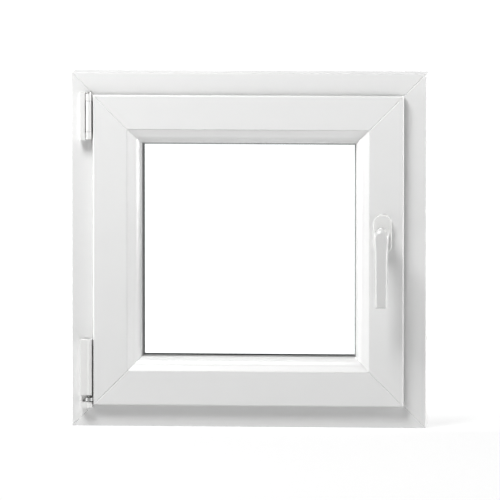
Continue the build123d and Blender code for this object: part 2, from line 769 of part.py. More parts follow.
case_outer = rebate_edge - rod_floor - 0.5
rack_tip = rod_floor + gear_module
gearbox = block((handle_x - 13, case_front, handle_height - case_half),
    (case_outer, case_back, handle_height + case_half))
gearbox -= bar((handle_x, case_front + case_wall, handle_height),
    (handle_x, case_back - case_wall, handle_height),
               pitch_radius + gear_module + 0.6)
gearbox -= block((rebate_edge - rack_tip - 0.4, groove_y - 4.4, handle_height - 60),
    (rebate_edge, groove_y + 4.4, handle_height + 60))
gearbox -= bar((handle_x, case_front - 1, handle_height), (handle_x, case_back + 1, handle_height),
    hub_radius + 0.15)
handle_screw_radius = 2.5
for z in handle_screw_z:
    gearbox -= bar((handle_x, case_front - 1, z), (handle_x, case_back + 1, z), handle_screw_radius)
parts["gearbox_case"] = gearbox

# ---- rods, cams and faceplates, in rail coordinates ---------------------------------------------


def slot(x0, x1, radius, z0, z1):
    """A slot with round ends along the rail."""
    ends = bar((x0, 0, z0), (x0, 0, z1), radius) + bar((x1, 0, z0), (x1, 0, z1), radius)
    return ends + block((x0, -radius, z0), (x1, radius, z1))


def faceplate(side):
    plate = block((plate_start[side], -seat_width / 2, -seat_depth), (plate_end[side], seat_width / 2, 0))
    for x in cam_places[side]:
        plate -= slot(x, x + travel, cam_neck_radius + running, -seat_depth - 1, 1)
    for x in plate_screws[side]:
        plate -= Pos(x, 0, 0) * countersink(3.5, screw_radius, 6)
    return plate


def rack_teeth():
    """The rack under the rod: a thicker length of rod with straight-sided gaps cut in it."""
    pitch = math.pi * gear_module
    before = math.ceil((travel + 8) / pitch)
    after = 2
    rack = block((gear_local_x - (before + 0.5) * pitch, -4, -rack_tip),
        (gear_local_x + (after + 0.5) * pitch, 4, -rod_floor))
    lean = math.tan(math.radians(20))
    root_depth = rod_floor - 1.25 * gear_module
    half = pitch / 4 + backlash / 2
    gap_face = []
    for gap in range(-before, after + 1):
        x = gear_local_x + gap * pitch
        wide = half + lean * (gear_module + 0.2)
        narrow = half - lean * 1.25 * gear_module
        gap_face.append(make_face(Polyline((x - wide, -rack_tip - 0.2), (x + wide, -rack_tip - 0.2),
                                           (x + narrow, -root_depth), (x - narrow,
                                               -root_depth), close=True)))
    plane = Plane((0, 0, 0), x_dir=(1, 0, 0), z_dir=(0, -1, 0))
    gaps = [extrude(plane.location * face, amount=rod_width / 2 + 1, both=True) for face in gap_face]
    return rack, gaps


def lock_bar(side):
    """A flat sliding rod; the one beside the handle carries the rack."""
    rod = block((rod_start[side], -rod_width / 2, -rod_floor), (rod_end[side], rod_width / 2, -rod_top))
    if side == "right":
        rack, gaps = rack_teeth()
        rod = rod + rack - gaps
    return rod


def cam(x):
    """A mushroom cam riveted to a rod, standing through the faceplate's slot."""
    neck = bar((x, 0, -rod_top), (x, 0, 0.5), cam_neck_radius)
    head = bar((x, 0, 0.3), (x, 0, cam_height), cam_radius)
    head = chamfer(head.edges().group_by(Axis.Z)[-1], 0.8)
    return neck + head


rod_names = {"right": "lock_rod", "top": "top_rod", "bottom": "bottom_rod"}
plate_names = {"right": "lock_faceplate", "top": "top_faceplate", "bottom": "bottom_faceplate"}
for side in rod_names:
    parts[plate_names[side]] = rail(side) * faceplate(side)
    parts[rod_names[side]] = rail(side) * lock_bar(side)
    cams_name = rod_names[side] + ("_cams" if side == "right" else "_cam")
    parts[cams_name] = [rail(side) * cam(x) for x in cam_places[side]]

# ---- corner drives ------------------------------------------------------------------------------


def corner_drive():
    """An angled housing for the upper lock-side corner, with the strip's curved channel in it."""
    def angle_piece(depth0, depth1, half_width):
        across = block((rebate_edge - corner_leg, groove_y - half_width, rebate_high - depth1),
                       (rebate_edge - depth0, groove_y + half_width, rebate_high - depth0))
        down = block((rebate_edge - depth1, groove_y - half_width, rebate_high - corner_leg),
                     (rebate_edge - depth0, groove_y + half_width, rebate_high - depth0))
        return across + down
    legs = angle_piece(0, seat_depth, seat_width / 2)
    housing = angle_piece(seat_depth, trough_depth - 0.2, trough_width / 2 - 0.2)
    channel = angle_piece(rod_top, rod_floor + 0.3, rod_width / 2 - 0.8)
    corner_cut = block((rebate_edge - 14, groove_y - 10, rebate_high - 14),
        (rebate_edge + 1, groove_y + 10, rebate_high + 1))
    bend = corner_cut - bar((rebate_edge - 14, groove_y - 10, rebate_high - 14),
        (rebate_edge - 14, groove_y + 10, rebate_high - 14), 14)
    drive = (legs + housing - channel) - bend
    for x in corner_screws["top"]:
        drive -= rail("top") * Pos(x, 0, 0) * countersink(3.5, screw_radius, groove_screw_length)
    drive -= rail("right") * Pos(corner_screws["right"][0], 0, 0) * countersink(3.5, screw_radius,
        groove_screw_length)
    return drive


upper_drive = corner_drive()
parts["upper_corner_drive"] = upper_drive
parts["lower_corner_drive"] = mirror(upper_drive, about=Plane.XY.offset(sash_middle))

# ---- stay arm, stud and guide ----------------------------------------------------------------------

arm_low = rebate_high + 5.2
arm_high = arm_low + stay_thickness
strap_front = lip_back + 0.6
strap_back = strap_front + stay_strap
bend_left = -frame_width / 2 + frame_face + 4.5
bend_right = bend_left + 2.5

stay_arm = bar((axis_x, axis_y, knuckle_low + running), (axis_x, axis_y, knuckle_high - running),
    knuckle_radius)
stay_arm += block((axis_x, axis_y, strap_low), (axis_x + 4, strap_back, arm_high))
stay_arm += block((axis_x, strap_front, strap_low), (bend_right, strap_back, arm_high))
stay_arm += block((bend_left, strap_front, strap_low), (bend_right, groove_y + stay_width / 2, arm_high))
stay_arm += block((bend_left, groove_y - stay_width / 2, arm_low),
    (stud_x, groove_y + stay_width / 2, arm_high))
stay_arm += bar((stud_x, groove_y, arm_low), (stud_x, groove_y, arm_high), stay_width / 2)
stay_arm -= bar((axis_x, axis_y, knuckle_low - 1), (axis_x, axis_y, knuckle_high + 1), pin_radius + 0.05)
stay_arm -= bar((stud_x, groove_y, arm_low - 1), (stud_x, groove_y, arm_high + 1), stud_radius)
parts["stay_arm"] = stay_arm

stud_low = rebate_high - trough_depth + 3
stay_stud = bar((stud_x, groove_y, stud_low), (stud_x, groove_y, arm_high + 0.8), stud_radius)
parts["stay_stud"] = stay_stud + bar((stud_x, groove_y, arm_high), (stud_x, groove_y, arm_high + 1), 4)

slide_back = 5.5              # the stud works back along the guide as the sash tilts
stud_space = 1.1
rail_height = 2.6
stay_guide = block((guide_low_x, groove_y - seat_width / 2, rebate_high - seat_depth),
    (guide_high_x, groove_y + seat_width / 2, rebate_high))
for y0 in (groove_y - 6, groove_y + 4):
    stay_guide += block((stud_x - 16, y0, rebate_high), (stud_x + 12, y0 + 2, rebate_high + rail_height))
stay_guide -= Pos(0, groove_y, 0) * slot(
    stud_x - slide_back, stud_x + 0.5, stud_radius + stud_space, rebate_high - seat_depth - 1,
    rebate_high + rail_height + 1)
for x in guide_screws["top"]:
    stay_guide -= rail("top") * Pos(x, 0, 0) * countersink(3.5, screw_radius, 6)
parts["stay_guide"] = stay_guide

# ---- handle -------------------------------------------------------------------------------------------


def rosette_prism(inset, y0, y1):
    """The rosette's stadium outline, run from y0 to y1."""
    face = SlotOverall(rosette_length - 2 * inset, rosette_width - 2 * inset)
    plane = Plane((handle_x, y0, handle_height), x_dir=(0, 0, 1), z_dir=(0, 1, 0))
    return extrude(plane.location * face, amount=y1 - y0)


rosette_front = sash_front - rosette_depth
base_front = sash_front - 4
collar_radius = neck_radius - 1.5
rosette_base = rosette_prism(rosette_wall + 0.2, base_front, sash_front)
rosette_base += bar((handle_x, rosette_front + rosette_wall + 0.4, handle_height),
    (handle_x, base_front, handle_height), collar_radius + 2)
rosette_base -= bar((handle_x, rosette_front - 1, handle_height), (handle_x, base_front + 2, handle_height),
    collar_radius + 0.1)
rosette_base -= bar((handle_x, rosette_front - 1, handle_height), (handle_x, sash_front + 1, handle_height),
    5.6)
for z in handle_screw_z:
    rosette_base -= bar((handle_x, base_front - 1, z), (handle_x, sash_front + 1, z), handle_screw_radius)
parts["handle_rosette_base"] = rosette_base

rosette_cap = rosette_prism(0, rosette_front, sash_front)
rosette_cap = fillet(rosette_cap.edges().group_by(Axis.Y)[0], 1.6)
rosette_cap -= rosette_prism(rosette_wall, rosette_front + rosette_wall, sash_front + 1)
rosette_cap -= bar((handle_x, rosette_front - 1, handle_height), (handle_x, sash_front, handle_height),
    collar_radius + 0.4)
parts["handle_rosette_cap"] = rosette_cap


def handle_screw(z):
    """A machine screw from the rosette base through the sash face into the gearbox."""
    head_y = base_front - 2.2
    screw = bar((handle_x, head_y, z), (handle_x, base_front, z), 4.3)
    screw += bar((handle_x, base_front, z), (handle_x, case_back - 0.5, z), handle_screw_radius)
    return screw - Pos(handle_x, head_y, z) * (Box(5, 2.4, 1) + Box(1, 2.4, 5))


parts["handle_screws"] = [handle_screw(z) for z in handle_screw_z]

grip_front = sash_front - handle_standoff
grip_back = grip_front + grip_thickness


def grip_station(z, width, thickness):
    """The grip's rounded cross-section at one height."""
    plane = Plane((handle_x, grip_front + thickness / 2, z), x_dir=(1, 0, 0), z_dir=(0, 0, 1))
    return plane.location * RectangleRounded(width, thickness, 4.2)


grip = loft([grip_station(handle_height - grip_length, grip_end_width, grip_thickness - 1),
             grip_station(handle_height + neck_radius - 0.5, grip_top_width, grip_thickness)])
neck_face = Plane((handle_x, rosette_front - 0.4, handle_height), x_dir=(1, 0, 0), z_dir=(0, -1, 0))
neck_end = Plane((handle_x, grip_back - 2, handle_height), x_dir=(1, 0, 0), z_dir=(0, -1, 0))
neck = loft([neck_face.location * Circle(neck_radius), neck_end.location * Circle(neck_radius - 1.5)])
collar = bar((handle_x, rosette_front - 0.4, handle_height), (handle_x, base_front + 1.6, handle_height),
    collar_radius)
spindle_depth = 22
socket = Pos(handle_x, 0, handle_height) * block(
    (-spindle_hole / 2, rosette_front - spindle_depth, -spindle_hole / 2), (spindle_hole / 2,
        base_front + 3, spindle_hole / 2))
parts["handle_grip"] = grip + neck + collar - socket
parts["handle_spindle"] = Pos(handle_x, 0, handle_height) * block(
    (-spindle / 2, rosette_front - spindle_depth + 0.2, -spindle / 2), (spindle / 2, case_back - 0.6,
        spindle / 2))

# ---- write one STEP file for each piece -------------------------------------------------------------------

os.makedirs("parts", exist_ok=True)
for name, shape in parts.items():
    pieces = shape if isinstance(shape, list) else [shape]
    solids = [solid for piece in pieces for solid in piece.solids()]
    export_step(solids[0] if len(solids) == 1 else Compound(solids), f"parts/{name}.step")
print(len(parts), "parts; rod travel", round(travel, 3), "mm; axis", axis_x, axis_y, "tilt", tilt_z)
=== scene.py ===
# %% [markdown]
# # A small tilt-and-turn window
# This lesson finishes a white plastic window whose mechanical model already exists. The
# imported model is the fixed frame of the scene: every piece has its true place there, so
# nothing is fitted by eye. We keep the pieces whose shape is right, give each one a
# material, and remake the few that a hand touches or an eye rests on.

# %% Load the frame
import json
import math

import bmesh
import bpy
from mathutils import Matrix, Vector


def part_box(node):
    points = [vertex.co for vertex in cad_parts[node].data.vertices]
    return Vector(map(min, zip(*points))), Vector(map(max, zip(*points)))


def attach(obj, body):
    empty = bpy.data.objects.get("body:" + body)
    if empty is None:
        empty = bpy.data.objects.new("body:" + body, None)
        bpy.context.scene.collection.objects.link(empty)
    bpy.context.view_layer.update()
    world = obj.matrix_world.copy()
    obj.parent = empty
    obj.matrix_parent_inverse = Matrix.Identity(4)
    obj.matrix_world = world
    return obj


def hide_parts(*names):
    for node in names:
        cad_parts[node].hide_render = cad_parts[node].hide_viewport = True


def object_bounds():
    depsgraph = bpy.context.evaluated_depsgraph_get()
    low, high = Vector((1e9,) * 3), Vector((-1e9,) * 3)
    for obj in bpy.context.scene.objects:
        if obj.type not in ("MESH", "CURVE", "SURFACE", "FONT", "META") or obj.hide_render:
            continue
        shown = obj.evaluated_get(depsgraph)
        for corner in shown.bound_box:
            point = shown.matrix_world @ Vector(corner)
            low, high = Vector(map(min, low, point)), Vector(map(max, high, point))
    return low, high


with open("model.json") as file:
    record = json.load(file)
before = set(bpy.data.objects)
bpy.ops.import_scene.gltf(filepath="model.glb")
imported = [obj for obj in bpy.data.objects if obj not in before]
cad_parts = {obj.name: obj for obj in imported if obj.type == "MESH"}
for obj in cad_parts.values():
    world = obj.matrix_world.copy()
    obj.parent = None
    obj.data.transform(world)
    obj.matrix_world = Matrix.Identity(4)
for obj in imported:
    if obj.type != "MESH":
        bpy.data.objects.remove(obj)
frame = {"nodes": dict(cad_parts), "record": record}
cad_box = [list(corner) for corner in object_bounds()]
nodes = frame["nodes"]

# %% [markdown]
# White is only believable when its tones are kept apart. The standard view transform
# leaves the whites white, where a film-like one would grey them.

# %% Colour management
scene = bpy.context.scene
scene.view_settings.view_transform = "Standard"
scene.view_settings.look = "None"
DISPLAY_GAMMA = 0.68           # below 1 it deepens the middle tones and keeps white as it is
scene.view_settings.gamma = DISPLAY_GAMMA
print("view transform:", scene.view_settings.view_transform, "gamma", DISPLAY_GAMMA)

# %% [markdown]
# ## Shared surface effects
# Two effects serve several materials, so each is built once as a shader node group with
# named sockets. Real extruded plastic shows faint lines along its length; moulded plastic
# and powder coat have a fine even grain; and every surface is a little uneven in gloss.

# %% A helper for node groups
def socket(group, name, direction, kind="NodeSocketFloat", value=None):
    """Adds one named socket to a group's interface."""
    made = group.interface.new_socket(name=name, in_out=direction, socket_type=kind)
    if value is not None:
        made.default_value = value
    return made


def shader_group(name, inputs, outputs):
    """A new shader group with its ends: inputs are (name, type, value), outputs (name, type)."""
    group = bpy.data.node_groups.new(name, "ShaderNodeTree")
    for label, kind, value in inputs:
        socket(group, label, "INPUT", kind, value)
    for label, kind in outputs:
        socket(group, label, "OUTPUT", kind)
    return group, group.nodes.new("NodeGroupInput"), group.nodes.new("NodeGroupOutput")


FLOAT, VECTOR = "NodeSocketFloat", "NodeSocketVector"
print("group helper ready")

# %% [markdown]
# Grain is two sizes of noise laid over each other. One gives the height of the fine
# texture, and the other a slow drift that the roughness follows.

# %% Group: grain
def make_grain():
    group, put_in, put_out = shader_group(
        "fine_grain",
        [("Vector", VECTOR, None), ("Scale", FLOAT, 900.0), ("Drift Scale", FLOAT, 14.0),
         ("Rough Low", FLOAT, 0.3), ("Rough High", FLOAT, 0.45)],
        [("Height", FLOAT), ("Roughness", FLOAT), ("Drift", FLOAT)])
    fine = group.nodes.new("ShaderNodeTexNoise")
    slow = group.nodes.new("ShaderNodeTexNoise")
    slow.inputs["Detail"].default_value = 4.0
    spread = group.nodes.new("ShaderNodeMapRange")
    link = group.links.new
    link(put_in.outputs["Vector"], fine.inputs["Vector"])
    link(put_in.outputs["Vector"], slow.inputs["Vector"])
    link(put_in.outputs["Scale"], fine.inputs["Scale"])
    link(put_in.outputs["Drift Scale"], slow.inputs["Scale"])
    link(slow.outputs["Fac"], spread.inputs["Value"])
    spread.inputs["From Min"].default_value = 0.3
    spread.inputs["From Max"].default_value = 0.7
    link(put_in.outputs["Rough Low"], spread.inputs["To Min"])
    link(put_in.outputs["Rough High"], spread.inputs["To Max"])
    link(fine.outputs["Fac"], put_out.inputs["Height"])
    link(spread.outputs["Result"], put_out.inputs["Roughness"])
    link(slow.outputs["Fac"], put_out.inputs["Drift"])
    return group


grain_group = make_grain()
print("made", grain_group.name)

# %% [markdown]
# Drawn lines are a noise stretched very long in one direction: an extruder's die leaves
# them on plastic, and rolling or brushing leaves them on metal. The stretch is an input,
# so one group serves pieces that lie along any axis.

# %% Group: drawn lines
def make_drawn_lines():
    group, put_in, put_out = shader_group(
        "drawn_lines",
        [("Vector", VECTOR, None), ("Stretch", VECTOR, (1.0, 1.0, 1.0)), ("Scale", FLOAT, 1.0)],
        [("Height", FLOAT)])
    stretch = group.nodes.new("ShaderNodeVectorMath")
    stretch.operation = "MULTIPLY"
    lines = group.nodes.new("ShaderNodeTexNoise")
    lines.inputs["Detail"].default_value = 3.0
    link = group.links.new
    link(put_in.outputs["Vector"], stretch.inputs[0])
    link(put_in.outputs["Stretch"], stretch.inputs[1])
    link(stretch.outputs["Vector"], lines.inputs["Vector"])
    link(put_in.outputs["Scale"], lines.inputs["Scale"])
    link(lines.outputs["Fac"], put_out.inputs["Height"])
    return group


lines_group = make_drawn_lines()
print("made", lines_group.name)

# %% [markdown]
# ## Materials
# Each finish starts from the Principled shader. A small builder lays down the object
# coordinates, the grain and, where it is wanted, the drawn lines, and mixes two close
# tones of the colour by the slow drift, so no surface is one flat value.

# %% The finish builder
COAT_ROUGHNESS = 0.12
BUMP_DISTANCE = 0.0002         # metres, for grain and for drawn lines


def finish(name, tone, second_tone, rough, grain_size=900.0, grain_bump=0.05, lines=None,
           lines_bump=0.0, metallic=0.0, coat=0.0, slot=None):
    """A procedural finish: two tones mixed by drift, grain and drawn lines in the bump."""
    material = bpy.data.materials.new(name)
    material.use_nodes = True
    tree = material.node_tree
    shader = tree.nodes["Principled BSDF"]
    shader.inputs["Metallic"].default_value = metallic
    shader.inputs["Coat Weight"].default_value = coat
    shader.inputs["Coat Roughness"].default_value = COAT_ROUGHNESS
    place = tree.nodes.new("ShaderNodeTexCoord")
    grain = tree.nodes.new("ShaderNodeGroup")
    grain.node_tree = grain_group
    grain.inputs["Scale"].default_value = grain_size
    grain.inputs["Rough Low"].default_value, grain.inputs["Rough High"].default_value = rough
    mix = tree.nodes.new("ShaderNodeMix")
    mix.data_type = "RGBA"
    mix.inputs["A"].default_value = (*tone, 1)
    mix.inputs["B"].default_value = (*second_tone, 1)
    bump = tree.nodes.new("ShaderNodeBump")
    bump.inputs["Strength"].default_value = grain_bump
    bump.inputs["Distance"].default_value = BUMP_DISTANCE
    link = tree.links.new
    link(place.outputs["Object"], grain.inputs["Vector"])
    link(grain.outputs["Drift"], mix.inputs["Factor"])
    link(mix.outputs["Result"], shader.inputs["Base Color"])
    link(grain.outputs["Roughness"], shader.inputs["Roughness"])
    link(grain.outputs["Height"], bump.inputs["Height"])
    link(bump.outputs["Normal"], shader.inputs["Normal"])
    if lines:
        drawn = tree.nodes.new("ShaderNodeGroup")
        drawn.node_tree = lines_group
        drawn.inputs["Stretch"].default_value = lines
        drawn_bump = tree.nodes.new("ShaderNodeBump")
        drawn_bump.inputs["Strength"].default_value = lines_bump
        drawn_bump.inputs["Distance"].default_value = BUMP_DISTANCE
        link(place.outputs["Object"], drawn.inputs["Vector"])
        link(drawn.outputs["Height"], drawn_bump.inputs["Height"])
        link(drawn_bump.outputs["Normal"], bump.inputs["Normal"])
    material["slot"] = slot or name
    return material


print("finish builder ready")

# %% [markdown]
# Window plastic is bright, slightly cool and satin, with faint die lines. Uprights and
# crosspieces are sawn from the same bar, so they share one finish whose lines are turned
# to run along the piece.

# %% White plastics and powder coat
FINE, LONG = 700.0, 6.0
white, white_low = (0.80, 0.80, 0.797), (0.780, 0.781, 0.779)
# the bead tones are lighter than the profile white, though beads and profiles are the same plastic:
# painted light, for the brightness that the beads' round takes from the side lights
bead_white_painted_light, bead_low_painted_light = (0.85, 0.85, 0.847), (0.83, 0.83, 0.828)
profile_upright = finish("profile_upright", white, white_low, (0.29, 0.37), 600.0, 0.012,
                         (FINE, FINE, LONG), 0.022, coat=0.15, slot="white_profile")
profile_crosswise = finish("profile_crosswise", white, white_low, (0.29, 0.37), 600.0, 0.012,
                           (LONG, FINE, FINE), 0.022, coat=0.15, slot="white_profile")
bead_upright_painted_light = finish("bead_upright_painted_light", bead_white_painted_light, bead_low_painted_light, (0.30, 0.36), 600.0, 0.002,
                      (FINE, FINE, LONG), 0.004, coat=0.35, slot="white_profile")
bead_crosswise_painted_light = finish("bead_crosswise_painted_light", bead_white_painted_light, bead_low_painted_light, (0.30, 0.36), 600.0, 0.002,
                        (LONG, FINE, FINE), 0.004, coat=0.35, slot="white_profile")
moulded_white = finish("moulded_white", (0.81, 0.81, 0.80), (0.78, 0.78, 0.775), (0.32, 0.42),
                       1400.0, 0.010, slot="white_cover")
powder_white = finish("powder_white", (0.82, 0.82, 0.81), (0.79, 0.79, 0.785), (0.29, 0.36),
                      420.0, 0.014, coat=0.35, slot="white_metal")
# the handle's coat is a darker copy of the powder coat, the same white metal: painted shade, for the
# shade that falls on the lever's face
handle_coat_painted_shade = finish("handle_coat_painted_shade", (0.73, 0.73, 0.725), (0.70, 0.70, 0.697), (0.29, 0.36),
                     420.0, 0.012, coat=0.3, slot="white_metal")
whites = (profile_upright, profile_crosswise, bead_upright_painted_light, bead_crosswise_painted_light, moulded_white,
          powder_white, handle_coat_painted_shade)
print("white finishes:", [made.name for made in whites])

# %% [markdown]
# The hardware is zinc-plated steel with rolling marks, and the cores hidden in the
# profiles are galvanised. The seals are matt grey rubber.

# %% Metals and rubber
zinc, zinc_shade = (0.66, 0.66, 0.64), (0.52, 0.53, 0.54)
zinc_upright = finish("zinc_upright", zinc, zinc_shade, (0.29, 0.44), 500.0, 0.05,
                      (900.0, 900.0, 10.0), 0.12, metallic=1.0, slot="silver_steel")
zinc_crosswise = finish("zinc_crosswise", zinc, zinc_shade, (0.29, 0.44), 500.0, 0.05,
                        (10.0, 900.0, 900.0), 0.12, metallic=1.0, slot="silver_steel")
zinc_turned = finish("zinc_turned", (0.7, 0.7, 0.69), (0.58, 0.58, 0.58), (0.29, 0.38), 800.0, 0.06,
                     metallic=1.0, slot="silver_steel")
galvanised = finish("galvanised", (0.60, 0.62, 0.63), (0.44, 0.46, 0.48), (0.35, 0.6), 160.0, 0.10,
                    metallic=1.0, slot="galvanised_steel")
seal_rubber = finish("seal_rubber", (0.42, 0.421, 0.423), (0.47, 0.47, 0.472), (0.55, 0.75),
                     1600.0, 0.25, slot="grey_seal")
black_nylon = finish("black_nylon", (0.030, 0.030, 0.032), (0.045, 0.045, 0.046), (0.35, 0.5),
                     1200.0, 0.15, slot="black_nylon")
sealant = finish("sealant", (0.02, 0.02, 0.02), (0.035, 0.035, 0.034), (0.4, 0.6), 220.0, 0.4,
                 slot="black_sealant")
spacer_metal = finish("spacer_metal", (0.78, 0.79, 0.80), (0.68, 0.69, 0.70), (0.29, 0.36), 900.0, 0.05,
                      metallic=1.0, slot="spacer_aluminium")
print("metals and rubber ready")

# %% [markdown]
# Glass keeps a plain transmission. Only its gloss varies: a trace of unevenness such as
# a wiped pane has, and a faint waviness from the float bath in the bump.

# %% Glass
def make_glass():
    material = bpy.data.materials.new("float_glass")
    material.use_nodes = True
    tree = material.node_tree
    shader = tree.nodes["Principled BSDF"]
    shader.inputs["Base Color"].default_value = (0.985, 1.0, 0.995, 1)
    shader.inputs["Transmission Weight"].default_value = 1.0
    shader.inputs["IOR"].default_value = 1.5
    place = tree.nodes.new("ShaderNodeTexCoord")
    wiped = tree.nodes.new("ShaderNodeGroup")
    wiped.node_tree = grain_group
    wiped.inputs["Scale"].default_value = 3.0
    wiped.inputs["Rough Low"].default_value = 0.0
    wiped.inputs["Rough High"].default_value = 0.012
    wave = tree.nodes.new("ShaderNodeBump")
    wave.inputs["Strength"].default_value = 0.02
    wave.inputs["Distance"].default_value = 0.0005
    link = tree.links.new
    link(place.outputs["Object"], wiped.inputs["Vector"])
    link(wiped.outputs["Roughness"], shader.inputs["Roughness"])
    link(wiped.outputs["Height"], wave.inputs["Height"])
    link(wave.outputs["Normal"], shader.inputs["Normal"])
    material["slot"] = "clear_glass"
    return material


float_glass = make_glass()
print("made", float_glass.name)

# %% [markdown]
# Every carried-over piece now gets its finish. The table reads as the object does: which
# finish, and the pieces that have it.

# %% Dress the carried-over pieces
def dress(material, *names):
    """Gives a finish to carried-over pieces."""
    for name in names:
        piece = nodes[name]
        piece.data.materials.clear()
        piece.data.materials.append(material)


dress(profile_upright, "frame_left_jamb", "frame_right_jamb", "sash_hinge_stile", "sash_lock_stile",
      "glazing_bead_left", "glazing_bead_right")
dress(profile_crosswise, "frame_head", "frame_sill", "sash_top_rail", "sash_bottom_rail",
      "glazing_bead_top", "glazing_bead_bottom")
dress(moulded_white, "upper_hinge_cover", "lower_hinge_cover", "handle_rosette_cap", "drain_caps")
dress(powder_white, "stay_bearing", "corner_bearing", "handle_grip")
dress(galvanised, "frame_steel_cores", "sash_steel_cores")
dress(seal_rubber, "frame_stop_gasket", "sash_overlap_gasket", "inner_glazing_gasket",
      "outer_glazing_gasket")
dress(black_nylon, "pivot_bush", "glazing_blocks", "handle_rosette_base")
dress(sealant, "glass_edge_seal")
dress(spacer_metal, "glass_spacer_bar")
dress(float_glass, "glass_inner_pane", "glass_outer_pane")
dress(zinc_upright, "lock_faceplate", "lock_rod", "gearbox_case", "corner_band", "striker_keeps")
dress(zinc_crosswise, "top_faceplate", "bottom_faceplate", "top_rod", "bottom_rod", "stay_arm",
      "stay_guide", "upper_corner_drive", "lower_corner_drive")
dress(zinc_turned, "stay_pin", "corner_bearing_pin", "hinge_screws", "keep_screws", "corner_band_screws",
      "faceplate_screws", "handle_screws", "stay_stud", "handle_spindle", "gear_pinion", "lock_rod_cams",
      "top_rod_cam", "bottom_rod_cam")
undressed = [name for name, piece in nodes.items() if not piece.data.materials[0].get("slot")]
print("left without a finish:", undressed)

# %% [markdown]
# ## Helpers for new pieces
# A new piece is built in place, in metres, with its object at the origin. Modifiers are
# turned into plain mesh before the piece is handed to its body.

# %% Piece helpers
body_of = {name: body for body, names in frame["record"]["behaviour"]["bodies"].items()
           for name in names}


def new_piece(name, mesh_data, material):
    """An object for a finished mesh, in the scene and with its material."""
    piece = bpy.data.objects.new(name, mesh_data)
    scene.collection.objects.link(piece)
    if material:
        mesh_data.materials.clear()
        mesh_data.materials.append(material)
    return piece


def settle(piece):
    """Turns a piece's modifiers into plain mesh."""
    bpy.context.view_layer.update()
    graph = bpy.context.evaluated_depsgraph_get()
    solid = bpy.data.meshes.new_from_object(piece.evaluated_get(graph))
    piece.modifiers.clear()
    piece.data = solid
    return piece


def smooth(piece, degrees=35):
    """Smooth shading that keeps real edges crisp and large flats flat."""
    piece.data.shade_smooth()
    piece.data.set_sharp_from_angle(angle=math.radians(degrees))
    weighted = piece.modifiers.new("weighted normals", "WEIGHTED_NORMAL")
    weighted.keep_sharp = True
    weighted.weight = 90
    return settle(piece)


def hand_over(piece, *replaced, body=None):
    """Rides the piece on the body of the node that it replaces, and hides the nodes that it replaces."""
    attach(piece, body or body_of[replaced[0]])
    if replaced:
        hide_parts(*replaced)
    return piece


def closed_mesh(work, name):
    """Turns a bmesh into a named mesh with its faces outwards, and frees the bmesh."""
    bmesh.ops.recalc_face_normals(work, faces=work.faces)
    mesh_data = bpy.data.meshes.new(name)
    work.to_mesh(mesh_data)
    work.free()
    return mesh_data


print("piece helpers ready")

# %% [markdown]
# ## Softened edges
# Moulded covers and machined steel never end in a knife edge: a radius of a few tenths
# of a millimetre catches the light. A copy of the CAD mesh is merged, flat areas are
# dissolved, and a Bevel rounds what is sharper than the angle. The CAD piece itself is
# left alone; the copy stands for it.

# %% Soften covers, brackets and hardware
def softened(node, width, material, segments=3, degrees=40):
    """A copy of a node with small radii on its real edges, which replaces it."""
    mesh_data = nodes[node].data.copy()
    work = bmesh.new()
    work.from_mesh(mesh_data)
    bmesh.ops.remove_doubles(work, verts=work.verts, dist=1e-6)
    bmesh.ops.dissolve_limit(work, angle_limit=math.radians(1.0), verts=work.verts,
                             edges=work.edges)
    work.to_mesh(mesh_data)
    work.free()
    piece = new_piece(node + "_softened", mesh_data, material)
    bevel = piece.modifiers.new("radius", "BEVEL")
    bevel.width = width
    bevel.segments = segments
    bevel.limit_method = "ANGLE"
    bevel.angle_limit = math.radians(degrees)
    bevel.use_clamp_overlap = True
    settle(piece)
    smooth(piece, 50)
    return hand_over(piece, node)


TENTH = 0.0001
soft_covers = [softened(node, 6 * TENTH, moulded_white) for node in
               ("upper_hinge_cover", "lower_hinge_cover")]
soft_brackets = [softened(node, 4 * TENTH, powder_white) for node in ("stay_bearing", "corner_bearing")]
soft_steel = [softened(node, 2 * TENTH, zinc_crosswise, segments=2) for node in
              ("stay_arm", "corner_band")]
print("softened:", [piece.name for piece in soft_covers + soft_brackets + soft_steel])

# %% [markdown]
# ## The handle
# Hands and eyes both go to the lever, so it gets a mesh of its own. Seen from the front
# it is an arch-topped bar that narrows a little to a square end, with a flat front and
# a wide soft chamfer all round. A turned neck carries it from the rosette. Its sizes come
# from the CAD grip and cap, so it stands exactly where they do.

# %% Lever sizes, read from the frame
grip_low, grip_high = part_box("handle_grip")
cap_low, cap_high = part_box("handle_rosette_cap")
axis_x = (grip_low.x + grip_high.x) / 2
axis_z = (cap_low.z + cap_high.z) / 2
bar_front = grip_low.y
bar_end = grip_low.z
BAR_DEPTH = 0.0132             # front to back
HEAD_RADIUS = 0.0123           # the round head over the spindle
WAIST_HALF = 0.0109            # half widths of the bar below the head and at its end
END_HALF = 0.0103
END_CORNER, LEAST_CORNER = 0.0030, 0.0005   # radius of the end's corners, and the least it shrinks to
EASE_SHARE = 0.2               # share of the bar over which the head narrows to the taper
ARCH_STEPS, SIDE_STEPS, CORNER_STEPS = 32, 14, 4
print("lever from", round(axis_z + HEAD_RADIUS, 4), "down to", round(bar_end, 4))

# %% [markdown]
# The bar is a stack of closed outlines, one behind the other. Each is drawn in from the
# full outline by an inset, and its arch is bent down by a little, so the front chamfer is
# widest over the head. Joining neighbouring outlines gives one closed skin.

# %% The bar
def lever_half_width(z):
    """Half the bar's width at a height: the head's radius eased into a long slow taper."""
    drop = max(0.0, (axis_z - z) / (axis_z - bar_end))
    taper = WAIST_HALF + (END_HALF - WAIST_HALF) * drop
    ease = min(1.0, drop / EASE_SHARE)
    return HEAD_RADIUS + (taper - HEAD_RADIUS) * (3 - 2 * ease) * ease ** 2


